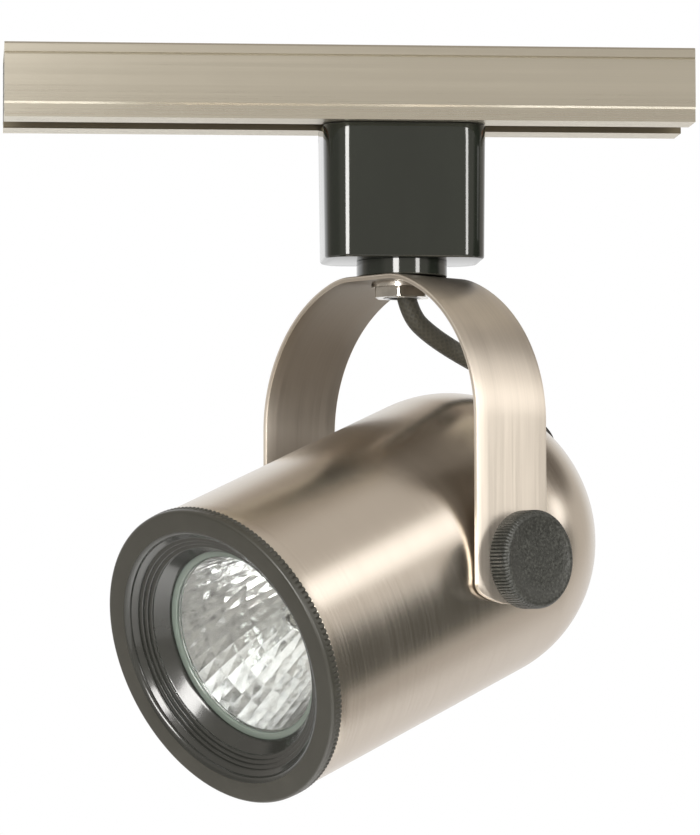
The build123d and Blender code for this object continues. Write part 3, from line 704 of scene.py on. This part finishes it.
# ---------------------------------------------------------------- the yoke
def build_yoke():
    """Bent strap: a bevelled section swept along the arch, with rounded feet and a stop tab."""
    inverse = YOKE.inverted()
    local = [inverse @ v.co for v in frame["nodes"]["yoke_strap"].data.vertices]
    half_span = max(p.x for p in local)
    foot = min(p.z for p in local)
    rise = max(p.z for p in local if abs(p.y) < 8 * MM)
    half_width = -min(p.y for p in local)
    thick, flat = 1.3 * MM, 7.0 * MM
    small, shoulder = 20.0 * MM, radians(20)

    # the middle line, as x, z and the angle of its outward normal: a flat, a tight bend, a wide
    # bend, a straight leg and a foot whose rows get closer towards its end
    small_rows, wide_rows, leg_rows, foot_rows = 8, 40, 12, 24
    path = [(0.0, rise, 0.0), (flat * 0.5, rise, 0.0), (flat, rise, 0.0)]
    for k in range(1, small_rows + 1):
        a = shoulder * k / small_rows
        path.append((flat + small * sin(a), rise - small * (1 - cos(a)), a))
    x1, z1 = flat + small * sin(shoulder), rise - small * (1 - cos(shoulder))
    wide = (half_span - x1) / (1 - sin(shoulder))
    cx, cz = x1 - wide * sin(shoulder), z1 - wide * cos(shoulder)
    for k in range(1, wide_rows + 1):
        a = shoulder + (pi / 2 - shoulder) * k / wide_rows
        path.append((cx + wide * sin(a), cz + wide * cos(a), a))
    straight_end, lowest = -1.0 * MM, foot + 0.02 * MM
    path += [(half_span, cz + (straight_end - cz) * k / leg_rows, pi / 2)
             for k in range(1, leg_rows + 1)]
    path += [(half_span, straight_end + (lowest - straight_end) * sin(pi / 2 * k / foot_rows),
              pi / 2) for k in range(1, foot_rows + 1)]
    whole = [(-x, z, -a) for x, z, a in reversed(path[1:])] + path
    round_rise, blend = 3.2 * MM, 0.8 * MM

    def width_at(z):
        """Half the strap's width: full on the leg, then a small corner and a shallow round end."""
        radius = (half_width ** 2 + round_rise ** 2) / (2 * round_rise)
        below = z - foot
        if below >= round_rise + 2 * blend:
            return half_width
        if below < round_rise - blend:
            return min(half_width, sqrt(max(0.0, radius ** 2 - (radius - below) ** 2)))
        t = (below - round_rise + blend) / (3 * blend)
        start = sqrt(radius ** 2 - (radius - round_rise + blend) ** 2)
        return start + (half_width - start) * sin(pi / 2 * min(1.0, t))

    edge = 0.28 * MM
    rings = []
    for x, z, a in whole:
        normal = Vector((sin(a), 0, cos(a)))
        w = max(0.4 * MM, width_at(z))
        e = min(edge, w * 0.4)
        side = [(w - e, 0), (w - 0.3 * e, -0.3 * e), (w, -e),
                (w, -thick + e), (w - 0.3 * e, -thick + 0.3 * e), (w - e, -thick)]
        inner = [(w * t, -thick) for t in (0.6, 0.2, -0.2, -0.6)]
        outer = [(w * t, 0) for t in (-0.6, -0.2, 0.2, 0.6)]
        section = side + inner + [(-p, q) for p, q in reversed(side)] + outer
        base = Vector((x, 0, z))
        rings.append([tuple(base + normal * depth + Vector((0, across, 0)))
                      for across, depth in section])
    verts, faces = ring_stack(rings)

    # the stop tab, bent up from the strap's rear edge
    left, right, bottom, top = -0.5 * MM, 2.5 * MM, rise - thick, rise + 2.6 * MM
    near, far, bevel, cut = half_width - 0.3 * MM, half_width + 1.2 * MM, 0.3 * MM, 0.15 * MM
    outline = [(left, bottom), (right, bottom), (right, top - bevel), (right - bevel, top),
               (left + bevel, top), (left, top - bevel)]
    shrunk = [(px + (cut if px < (left + right) / 2 else -cut), pz - (cut if pz > rise else 0))
              for px, pz in outline]
    levels = ((outline, near), (outline, far - cut), (shrunk, far))
    add_stack(verts, faces, [[(px, y, pz) for px, pz in ring] for ring, y in levels])
    yoke = piece("yoke_bent_strap", verts, faces, YOKE, [yoke_nickel, yoke_inner_shade], 42)
    for polygon in yoke.data.polygons:
        normal = inverse.to_3x3() @ polygon.normal
        centre = inverse @ polygon.center
        outwards = normal.x * centre.x + normal.z * (centre.z - min(centre.z, cz))
        if abs(normal.y) < 0.3 and outwards < -3 * MM:      # the strap's inner face gets the darker copy: painted shade
            polygon.material_index = 1
    layer = yoke.data.uv_layers.new(name="across")
    around = len(rings[0])
    for loop in yoke.data.loops:
        row = min(loop.vertex_index // around, len(rings) - 1)
        layer.data[loop.index].uv = (verts[loop.vertex_index][1], row * MM)
    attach(yoke, "yoke")
    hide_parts("yoke_strap")


# ---------------------------------------------------------------- the adapter
def rounded_outline(half_x, half_y, corner, z, per_corner=14):
    """A rounded rectangle at one height."""
    ring = []
    for index, (sx, sy) in enumerate(((1, 1), (-1, 1), (-1, -1), (1, -1))):
        cx, cy = sx * (half_x - corner), sy * (half_y - corner)
        for k in range(per_corner + 1):
            a = radians(90 * index + 90 * k / per_corner)
            ring.append((cx + corner * cos(a), cy + corner * sin(a), z))
    return ring


def build_housing():
    """Glossy moulded box: drafted walls, rounded uprights, a small round at its foot."""
    low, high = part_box("adapter_housing")
    top, bottom = high.z, low.z
    half_x, half_y = (high.x - low.x) / 2, (high.y - low.y) / 2
    corner, draft, wall, foot = 7.2 * MM, tan(radians(0.7)), 2.0 * MM, 0.7 * MM
    brim, cut, wall_rows, foot_rows = 0.25 * MM, 0.07 * MM, 8, 6

    def outline(inset, z):
        return rounded_outline(half_x - inset, half_y - inset, corner - inset, z)

    rings = [outline(wall, top - 2.0 * MM), outline(wall, top),
             outline(brim, top), outline(cut, top - cut)]
    for k in range(wall_rows + 1):
        z = top - brim + (bottom + foot - top + brim) * k / wall_rows
        rings.append(outline((top - z) * draft, z))
    for k in range(1, foot_rows + 1):
        a = radians(90 * k / foot_rows)
        pull = (top - bottom) * draft + foot * (1 - cos(a))
        rings.append(outline(pull, bottom + foot * (1 - sin(a))))
    verts, faces = ring_stack(rings)
    made = piece("adapter_case", verts, faces, PAN, [gloss_black], 32)
    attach(made, "adapter")
    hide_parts("adapter_housing")


def build_collar():
    """Glossy bearing collar under the housing, with the lug that stops the swivel."""
    low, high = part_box("swivel_collar")
    radius, top, bottom = pivot.x - low.x, high.z, low.z
    edge, bore, nick = 0.4 * MM, 4.9 * MM, 0.1 * MM
    profile = [(bore, top), (radius - nick, top), (radius, top - nick), (radius, bottom + edge)]
    profile += arc(radius - edge, bottom + edge, edge, 0, -90, 5)[1:] + [(bore, bottom)]
    verts, faces = lathe(profile, 128)
    verts = [(x, z, y) for x, y, z in verts]
    turn = Matrix.Rotation(radians(100), 3, "Z")
    root, tip, half, bevel = radius - 0.5 * MM, 13.9 * MM, 1.5 * MM, 0.2 * MM
    lug = [(root, -half), (tip - bevel, -half), (tip, -half + bevel),
           (tip, half - bevel), (tip - bevel, half), (root, half)]
    add_stack(verts, faces, [[tuple(turn @ Vector((x, y, z))) for x, y in lug]
                             for z in (top, bottom + 0.35 * MM)])
    made = piece("collar_turned", verts, faces, PAN, [gloss_black], 35)
    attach(made, "adapter")
    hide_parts("swivel_collar")


# ---------------------------------------------------------------- the sleeved cable
# The same route as the CAD tube, in metres, in the yoke's own axes.
CABLE_ROUTE = [(0, 0, 0.081), (0, 0, 0.066), (0.00258, 0.0106, 0.057), (0.009, 0.037, 0.0458),
               (0.009, 0.037, 0.026)]
CABLE_DIAMETER = 0.005


def nurbs_line(points, matrix):
    """The smooth line that a NURBS spline makes of the route, as points in the row frame."""
    curve = bpy.data.curves.new("cable_line", "CURVE")
    curve.dimensions = "3D"
    curve.resolution_u = 24
    spline = curve.splines.new("NURBS")
    spline.points.add(len(points) - 1)
    for place, point in zip(spline.points, points):
        place.co = (*(matrix @ Vector(point)), 1)
    spline.order_u = 3
    spline.use_endpoint_u = True
    holder = bpy.data.objects.new("cable_line", curve)
    mesh = bpy.data.meshes.new_from_object(holder)
    line = [v.co.copy() for v in mesh.vertices]
    bpy.data.objects.remove(holder)
    bpy.data.meshes.remove(mesh)
    return line


def build_cable():
    """The sleeved cable, from inside the stem to the grommet, with a UV map for its braid."""
    line = nurbs_line(CABLE_ROUTE, YOKE)
    count, radius = 32, CABLE_DIAMETER / 2
    travelled = [0.0]
    for a, b in zip(line, line[1:]):
        travelled.append(travelled[-1] + (b - a).length)
    side = tilt_axis.copy()
    rings = []
    for k, point in enumerate(line):
        ahead = (line[min(k + 1, len(line) - 1)] - line[max(k - 1, 0)]).normalized()
        side = (side - ahead * side.dot(ahead)).normalized()
        other = ahead.cross(side)
        angles = [2 * pi * i / count for i in range(count)]
        rings.append([point + radius * (side * cos(a) + other * sin(a)) for a in angles])
    verts, faces = ring_stack(rings)
    cable = piece("sleeved_cable", verts, faces, Matrix.Identity(4), [weave], 50)
    layer = cable.data.uv_layers.new(name="along")
    for polygon in cable.data.polygons:
        columns = [cable.data.loops[l].vertex_index % count for l in polygon.loop_indices]
        wraps = max(columns) == count - 1 and min(columns) == 0
        for l, column in zip(polygon.loop_indices, columns):
            row = cable.data.loops[l].vertex_index // count
            across = count if wraps and column == 0 else column
            layer.data[l].uv = (across / count, travelled[row])
    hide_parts("lamp_cable")
    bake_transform(cable)


# ---------------------------------------------------------------- camera, light and floor
def build_camera():
    """The camera looks from the front, a little left of square and from a little below."""
    azimuth, elevation, roll = radians(-5.0), radians(-3.6), radians(-0.15)
    distance, lens = 1165 * MM, 196.1
    aim_left, aim_up = 13.5 * MM, 37.5 * MM     # from the tilt pivot to the point looked at
    back = Vector((sin(azimuth) * cos(elevation), -cos(azimuth) * cos(elevation), sin(elevation)))
    right = Vector((cos(azimuth), sin(azimuth), 0))
    above = back.cross(right)
    x = right * cos(roll) + above * sin(roll)
    y = above * cos(roll) - right * sin(roll)
    data = bpy.data.cameras.new("camera")
    data.sensor_width = 36
    data.lens = lens
    data.clip_start, data.clip_end = 0.05, 30
    camera = bpy.data.objects.new("camera", data)
    place = pivot + back * distance - x * aim_left + y * aim_up
    camera.matrix_world = axes_matrix(place, x, y, back)
    bpy.context.scene.collection.objects.link(camera)
    bpy.context.scene.camera = camera


def direction(azimuth, elevation):
    """A direction by its angle from the front, positive to the right, and its height."""
    a, e = radians(azimuth), radians(elevation)
    return Vector((sin(a) * cos(e), -cos(a) * cos(e), sin(e)))


def build_world():
    """A studio of soft cards: light all round, narrow bright strips to the right, and dark
    flats between them. The camera itself sees plain white."""
    world = bpy.data.worlds.new("studio")
    bpy.context.scene.world = world
    world.use_nodes = True
    nodes, links = world.node_tree.nodes, world.node_tree.links
    nodes.clear()
    coords = nodes.new("ShaderNodeTexCoord")
    cards = [
        # azimuth, elevation, half-width at full strength and at nothing (degrees), colour
        (180, 0, 18, 52, (0.95, 0.95, 0.95)),
        (165, 62, 6, 28, (0.36, 0.31, 0.26)),
        (146, -27, 8, 36, (0.78, 0.75, 0.73)),
        (112, 38, 11, 25, (0.15, 0.13, 0.11)),
        (98, -46, 12, 26, (0.14, 0.115, 0.09)),
        (85, -7, 12, 27, (0.08, 0.08, 0.07)),
        (71, 34, 3, 13, (2.0, 1.95, 1.9)),
        (90, 14, 4, 11, (1.9, 1.85, 1.8)),
        (-80, 0, 14, 36, (0.35, 0.33, 0.30)),
        (-150, 0, 12, 34, (1.25, 1.25, 1.25)),
    ]
    color = None
    base = (0.62, 0.58, 0.53)
    for azimuth, elevation, inner, outer, card in cards:
        dot = nodes.new("ShaderNodeVectorMath")
        dot.operation = "DOT_PRODUCT"
        links.new(coords.outputs["Generated"], dot.inputs[0])
        dot.inputs[1].default_value = direction(azimuth, elevation)
        reach = nodes.new("ShaderNodeMapRange")
        reach.interpolation_type = "SMOOTHSTEP"
        reach.inputs["From Min"].default_value = cos(radians(outer))
        reach.inputs["From Max"].default_value = cos(radians(inner))
        links.new(dot.outputs["Value"], reach.inputs["Value"])
        mix = nodes.new("ShaderNodeMix")
        mix.data_type = "RGBA"
        links.new(reach.outputs["Result"], mix.inputs[0])
        if color is None:
            mix.inputs[MIX_A].default_value = (*base, 1)
        else:
            links.new(color, mix.inputs[MIX_A])
        mix.inputs[MIX_B].default_value = (*card, 1)
        color = mix.outputs[MIX_RESULT]
    seen = nodes.new("ShaderNodeLightPath")
    pick = nodes.new("ShaderNodeMix")
    pick.data_type = "RGBA"
    links.new(seen.outputs["Is Camera Ray"], pick.inputs[0])
    links.new(color, pick.inputs[MIX_A])
    pick.inputs[MIX_B].default_value = (1.0, 1.0, 1.0, 1)
    background = nodes.new("ShaderNodeBackground")
    links.new(pick.outputs[MIX_RESULT], background.inputs["Color"])
    output = nodes.new("ShaderNodeOutputWorld")
    links.new(background.outputs["Background"], output.inputs["Surface"])


def area_light(name, azimuth, elevation, distance, size, power):
    """A slightly warm softbox, in metres and watts, turned to the tilt pivot."""
    data = bpy.data.lights.new(name, "AREA")
    data.shape = "RECTANGLE"
    data.size, data.size_y = size
    data.energy = power
    data.color = (1.0, 0.985, 0.96)
    light = bpy.data.objects.new(name, data)
    light.location = pivot + direction(azimuth, elevation) * distance
    light.rotation_euler = direction(azimuth, elevation).to_track_quat("Z", "Y").to_euler()
    bpy.context.scene.collection.objects.link(light)


def floor_wash():
    """A lamp that hangs below the fixture and lights only the floor."""
    below = 0.08
    data = bpy.data.lights.new("floor_wash", "AREA")
    data.shape = "DISK"
    data.size = 0.30
    data.energy = 1.6
    wash = bpy.data.objects.new("floor_wash", data)
    wash.location = (pivot.x, pivot.y, cad_box[0][2] - below)
    bpy.context.scene.collection.objects.link(wash)


def build_floor():
    """A round pale floor well below the hanging fixture."""
    m = Mat("pale_floor", (0.86, 0.86, 0.85), 0.6)
    cloud = m.noise(3)
    m.colour(cloud, [(0.3, (0.84, 0.84, 0.83)), (0.7, (0.88, 0.88, 0.87))])
    level, radius = cad_box[0][2] - 0.32, 0.5
    verts, faces = lathe([(0, 0), (radius / 2, 0), (radius, 0)], 96, closed=False)
    verts = [(x, z, y) for x, y, z in verts]
    floor_disc = piece("floor", verts, faces, Matrix.Translation((0, 0, level)), [m.mat])


build_camera()
build_cable()
build_barrel()
build_trim_ring()
build_lamp()
build_knob("knob_right", 1)
build_knob("knob_left", -1)
build_yoke()
build_housing()
build_collar()
build_world()
area_light("key_strip", -20, 10, 1.6, (0.40, 1.2), 24)
area_light("side_strip", 35, 10, 1.6, (0.28, 1.0), 10)
floor_wash()
build_floor()
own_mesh(frame["nodes"]["lock_spring"])
bpy.context.scene.view_settings.view_transform = "Standard"
